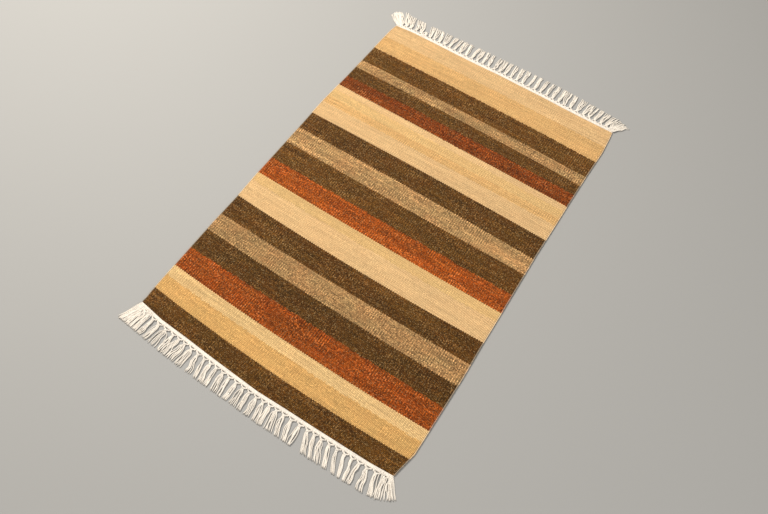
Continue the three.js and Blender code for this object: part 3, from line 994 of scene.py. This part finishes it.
def smooth_path(points):
    """A cubic for each span, which leaves and reaches its ends along the line of their neighbours."""
    padded = np.concatenate([points[:, :1], points, points[:, -1:]], axis=1)
    a, b, c, d = (padded[:, i : i + points.shape[1] - 1, None] for i in range(4))
    t = (np.arange(STEPS_PER_SPAN) / STEPS_PER_SPAN)[:, None]
    spans = b + 0.5 * t * (c - a + t * (2 * a - 5 * b + 4 * c - d + t * (3 * (b - c) + d - a)))
    return np.concatenate([spans.reshape(len(points), -1, 3), points[:, -1:]], axis=1)


def fan_paths(fringe):
    """Control points of every knotted yarn, then a smooth path through them.

    In the fan, a yarn's place is the knot's, plus a share of the lean, plus its place in the knot
    times what is still closed, plus its place among the tips times what has opened, plus a drift.
    """
    bundles, outward = fringe["bundles"], fringe["outward"]
    bundle_count = len(bundles["knot"])
    count = bundle_count * YARNS_PER_BUNDLE
    bundle = np.repeat(np.arange(bundle_count), YARNS_PER_BUNDLE)
    order = np.tile((np.arange(YARNS_PER_BUNDLE) + 0.5) / YARNS_PER_BUNDLE * 2 - 1, bundle_count)
    order = order + rng.uniform(-ORDER_STRAY, ORDER_STRAY, count)
    middle = bundles["knot"][bundle]
    edge = bundles["edge"][bundle]
    room = np.where(order < 0, bundles["before"][bundle], bundles["after"][bundle])
    layer = np.arange(count) % 2
    lift = rng.uniform(0, 1, count)
    closed = fringe["opening"]
    leg = np.sign(order) * room * (closed + (LEG_SPREAD - closed) * np.abs(order))
    neck = rng.uniform(-1, 1, count)

    def at_header(offset, depth, height):
        across = middle + offset
        return np.stack([across, edge_of(fringe, across) + outward * depth, height + 0 * offset], -1)

    def below(offset, depth, height):
        return np.stack([middle + offset, edge + outward * depth, height], -1)

    bend_depth = BEND_DEPTH + BEND_SLANT * np.abs(order)
    points = [
        at_header(order * room * ROOT_SPREAD, ROOT_DEPTH, ROOT_HEIGHT),
        at_header(leg, LEG_DEPTH, LEG_HEIGHT + LEG_LIFT * layer),
        at_header(leg * BEND_SPREAD, bend_depth, LEG_HEIGHT + BEND_LIFT * layer),
        below(order * KNOT_HALF * NECK_SPREAD, NECK_DEPTH, NECK_HEIGHT + NECK_LIFT * neck),
        below(order * KNOT_HALF, KNOTTED_AT, KNOTTED_HEIGHT + KNOTTED_LIFT * neck),
    ]
    stray = rng.uniform(-1, 1, count)
    crossing = rng.uniform(0, 1, count) < CROSSING_SHARE
    own_tip = order + rng.uniform(-TIP_STRAY, TIP_STRAY, count)
    tip_order = np.where(crossing, stray * CROSSING_REACH, own_tip)
    half_fan = (bundles["right"] - bundles["left"])[bundle] / 2 - YARN_RADIUS * 0.5
    lean = ((bundles["left"] + bundles["right"]) / 2 - bundles["knot"])[bundle]
    drift = rng.normal(0, 1, (4, count)) * YARN_DRIFT[:, None]
    drift += (rng.normal(0, 1, (4, bundle_count)) * BUNDLE_DRIFT[:, None])[:, bundle]
    tip = look_up(fringe["tip_line"], "across", "along", middle + lean + tip_order * half_fan)
    tip = tip + outward * (rng.normal(0, TIP_UNEVEN, count) - bundles["short_by"][bundle])
    start = edge + outward * KNOTTED_AT
    rise = rng.uniform(0, 1, (4, count)) * RISE
    for k, share in enumerate(FAN_SHARES):
        opened = share**FAN_BEND
        spread = order * KNOT_HALF * (1 - opened) + tip_order * half_fan * opened
        across = middle + lean * share**LEAN_BEND + spread + drift[k]
        along = start + (tip - start) * share
        fall = (1 - share) ** FALL_BEND * (FALL_HEIGHT + FALL_LIFT * neck)
        height = LYING_HEIGHT + fall + rise[k] + layer * lift * LAYER_LIFT
        points.append(np.stack([across, along, height], -1))
    return smooth_path(np.stack(points, axis=1))


# %% [markdown]
# ## The loose yarns
#
# Mostly at the corners, yarns have slipped out of their bundles, and a few have
# curled. Each could be a path drawn by hand, but groups are quicker to match to
# how they lie: a row gives the two ends of the line that the yarns start on and
# of the line of their tips, and how far the latter bulges.

# %% Paths of the loose yarns

# End, how many, first and last root, first and last tip, bulge and curl
LOOSE_YARNS = [
    ("near", 11, (4, 17), (-14, -36), (3, -38), 0, 0.5),
    ("near", 10, (15, 38), (6, -39), (32, -41), 0, 0.8),
    ("near", 6, (580, 588), (599, -34), (612, -27), 1, 0.6),
    ("near", 4, (563, 578), (575, -45), (588, -41), 0, 1.2),
    ("far", 14, (9.5, 23), (-21, 946), (-2, 969), 7, 0.7),
    ("far", 3, (78, 88), (77, 941), (84, 947), 0, 3.0),
    ("far", 12, (586, 598), (592, 962), (621, 952), 4, 0.9),
    ("far", 6, (592, 598), (606, 936), (617, 946), 2, 3.0),
]
LOOSE_SHARES = np.array([0, 0.1, 0.2, 0.32, 0.45, 0.6, 0.74, 0.88, 1.0])
CURL_TURNS = 1.1
CURL_REACH = 0.6
OWN_CURL = (0.5, 1.3)
LOOSE_LIFT = 1.5
LOOSE_ROOT_HEIGHT = 0.6


def loose_paths(end, fringe):
    """Yarns outside any knot: straight lines from root to tip, with a sine of the share as their curl."""
    paths = []
    for group_end, count, roots, first, last, bulge, curl in LOOSE_YARNS:
        if group_end != end:
            continue
        order = np.linspace(0, 1, count)
        root = roots[0] + (roots[1] - roots[0]) * order
        start = np.stack([root, edge_of(fringe, root) + fringe["outward"] * ROOT_DEPTH], -1)
        first, last = np.array([first, last], float)
        side = np.array([-(last - first)[1], (last - first)[0]]) / np.linalg.norm(last - first)
        side = side * np.sign(side[1] * fringe["outward"])
        tip = first + (last - first) * order[:, None] + rng.normal(0, TIP_UNEVEN, (count, 2))
        tip = tip + side * bulge * np.sin(np.pi * order)[:, None]
        ahead = tip - start
        length = np.linalg.norm(ahead, axis=1, keepdims=True)
        across = np.stack([-ahead[:, 1], ahead[:, 0]], -1) / length
        share = LOOSE_SHARES
        turn = TAU * (CURL_TURNS * share + rng.uniform(0, 1, (count, 1)))
        curl = curl * np.sin(turn) * np.sin(np.pi * share * CURL_REACH)
        curl = curl * rng.uniform(*OWN_CURL, (count, 1))
        flat = start[:, None] + ahead[:, None] * share[:, None] + across[:, None] * curl[..., None]
        lift = rng.uniform(0, 1, (count, 1)) * LOOSE_LIFT
        height = LYING_HEIGHT + lift * (1 - 0.5 * share) + LOOSE_ROOT_HEIGHT * (1 - share) ** 3
        paths.append(np.concatenate([flat, height[..., None]], -1))
    return smooth_path(np.concatenate(paths))


# %% [markdown]
# ## Spin the yarns
#
# Hand-spun yarns differ in thickness, and each narrows a little at its tip. One
# mesh for each end is lighter than hundreds of pieces.

# %% Yarns along all paths
OWN_RADIUS = (0.85, 1.12)
TIP_NARROWS_AT = 0.9
TIP_RADIUS_SHARE = 0.72
FIRST_YARN, FIRST_KNOT, FIRST_FIBRE = 10, 500, 1000


def yarns(end, fringe):
    """All yarns of one fringe, and their paths; the radius falls in a line past where tips narrow."""
    paths = np.concatenate([fan_paths(fringe), loose_paths(end, fringe)])
    count, steps = paths.shape[:2]
    own = YARN_RADIUS * rng.uniform(*OWN_RADIUS, (count, 1))
    share = np.linspace(0, 1, steps)
    radius = own * np.interp(share, [0, TIP_NARROWS_AT, 1], [1, 1, TIP_RADIUS_SHARE])
    points, quads = tubes(paths, radius, YARN_SIDES)
    return cotton_piece(end, "yarns", points, quads, yarn_uv(paths, YARN_SIDES, FIRST_YARN)), paths


fringe_yarns, yarn_paths = zip(*at_both_ends(yarns))

# %% [markdown]
# ## Frayed tips
#
# Where a yarn was cut, its fibres spread. Three fine ones at each tip break the
# clean cut, and more would only blur.

# %% Fray the tips
FIBRES_PER_TIP = 3
FIBRE_RADIUS = 0.13
FIBRE_SIDES = 4
FIBRE_STEPS = 4
FIBRE_TURN, FIBRE_BEND = 0.35, 0.5
FIBRE_LENGTH = (1.0, 2.6)
FIBRE_ROOT = 0.4
FIBRE_LIFT = 0.5


def frayed_tips(end, paths):
    """Three fine fibres from each tip: straight on, plus a random turn, plus a droop to the floor."""
    tip = np.repeat(paths[:, -1], FIBRES_PER_TIP, axis=0)
    ahead = np.repeat(paths[:, -1] - paths[:, -2], FIBRES_PER_TIP, axis=0)
    ahead = ahead / np.linalg.norm(ahead, axis=1, keepdims=True)
    turn = rng.normal(0, FIBRE_TURN, len(tip))
    bend = rng.normal(0, FIBRE_BEND, len(tip))
    length = rng.uniform(*FIBRE_LENGTH, len(tip))
    share = np.linspace(0, 1, FIBRE_STEPS)
    angle = turn[:, None] + bend[:, None] * share
    x = ahead[:, :1] * np.cos(angle) - ahead[:, 1:2] * np.sin(angle)
    y = ahead[:, :1] * np.sin(angle) + ahead[:, 1:2] * np.cos(angle)
    run = length[:, None] * share - FIBRE_ROOT
    low = FIBRE_RADIUS * 2 + rng.uniform(0, FIBRE_LIFT, (len(tip), 1))
    z = tip[:, 2:] + (low - tip[:, 2:]) * share
    fibres = np.stack([tip[:, :1] + x * run, tip[:, 1:2] + y * run, z], -1)
    points, quads = tubes(fibres, FIBRE_RADIUS, FIBRE_SIDES)
    return cotton_piece(end, "tips", points, quads, yarn_uv(fibres, FIBRE_SIDES, FIRST_FIBRE))


fringe_tips = [frayed_tips(end, paths) for end, paths in zip(FRINGES, yarn_paths)]

# %% [markdown]
# ## The knots
#
# Each bundle is tied with an overhand knot pulled tight, which shows as two or
# three slanting turns of yarn round the neck. A torus would look like a ring,
# so the knot is one yarn that winds round the bundle and moves down as it goes.

# %% Tie the knots
KNOT_TURNS = 2.6
KNOT_STEPS_PER_TURN = 14
KNOT_WIDTH = 2.9
KNOT_HEIGHT = 1.12
KNOT_DEPTHS = (9.9, 12.9)
KNOT_YARN = 0.64
KNOT_SLANT = (0.5, 1.0)
KNOT_SIZE = (0.9, 1.08)


def knots(end, fringe):
    """Windings at x = middle + width times cosine, z = height times sine, and a slant in depth."""
    bundles, outward = fringe["bundles"], fringe["outward"]
    share = np.linspace(0, 1, int(KNOT_TURNS * KNOT_STEPS_PER_TURN))[None]
    each = (len(bundles["knot"]), 1)
    start = rng.uniform(0, 1, each)
    slant = rng.choice([-1, 1], each) * rng.uniform(*KNOT_SLANT, each)
    turn = TAU * (share * KNOT_TURNS + start)
    size = rng.uniform(*KNOT_SIZE, each)
    x = bundles["knot"][:, None] + KNOT_WIDTH * size * np.cos(turn)
    depth = KNOT_DEPTHS[0] + (KNOT_DEPTHS[1] - KNOT_DEPTHS[0]) * share + slant * np.cos(turn)
    y = bundles["edge"][:, None] + outward * depth
    z = KNOT_HEIGHT + KNOT_YARN + KNOT_HEIGHT * np.sin(turn)
    paths = np.stack([x, y, z], -1)
    points, quads = tubes(paths, KNOT_YARN, YARN_SIDES, reference=(0, 1, 0))
    return cotton_piece(end, "knots", points, quads, yarn_uv(paths, YARN_SIDES, FIRST_KNOT))


fringe_knots = at_both_ends(knots)

# %% [markdown]
# ## One sheet of cloth
#
# The rug is a flat sheet, woven to 60 by 92 cm. The
# selvedges, headers and fringes go with it.

# %% [markdown]
# ## Floor and light
#
# A pale floor a hair below the rug takes its soft shadow. A lamp just under a
# metre wide on the left gives the ribs and yarns their shape, a wider one fills
# from the right, and a pale world keeps the shadows light. Small lamps would
# draw hard shadows between the yarns.

# %% Make the floor and the lamps
FLOOR_DROP = 0.0002
FLOOR_SIZE = 12.0
FLOOR_COLOUR = (0.36, 0.348, 0.325, 1.0)
FLOOR_ROUGHNESS = 0.75
WORLD_COLOUR = (0.9, 0.9, 0.9, 1.0)
WORLD_STRENGTH = 0.45


def floor():
    mesh = bpy.data.meshes.new("floor")
    reach = FLOOR_SIZE / 2
    corners = [(-reach, -reach), (reach, -reach), (reach, reach), (-reach, reach)]
    mesh.from_pydata([(x, y, -FLOOR_DROP) for x, y in corners], [], [(0, 1, 2, 3)])
    shader = Shader("floor")
    shader.surface.inputs["Base Color"].default_value = FLOOR_COLOUR
    shader.surface.inputs["Roughness"].default_value = FLOOR_ROUGHNESS
    mesh.materials.append(shader.material)
    piece = add_to_scene("floor", mesh)


def lamp(name, start, size, power, colour):
    """A square lamp that points at the rug's middle."""
    light = bpy.data.lights.new(name, "AREA")
    light.size = size
    light.energy = power
    light.color = colour
    to_rug = (-Vector(start)).to_track_quat("-Z", "Y").to_matrix().to_4x4()
    add_to_scene(name, light).matrix_world = Matrix.Translation(start) @ to_rug


floor()
lamp("key", start=(-1.75, 0.55, 2.2), size=0.9, power=89.0, colour=(1.0, 0.97, 0.92))
lamp("fill", start=(1.8, -1.2, 2.0), size=2.0, power=24.0, colour=(0.95, 0.97, 1.0))
world = bpy.data.worlds.new("studio")
world.use_nodes = True
background = world.node_tree.nodes["Background"]
background.inputs["Color"].default_value = WORLD_COLOUR
background.inputs["Strength"].default_value = WORLD_STRENGTH
bpy.context.scene.world = world
bpy.context.scene.view_settings.view_transform = "Standard"
print("a floor, two lamps and a pale world")
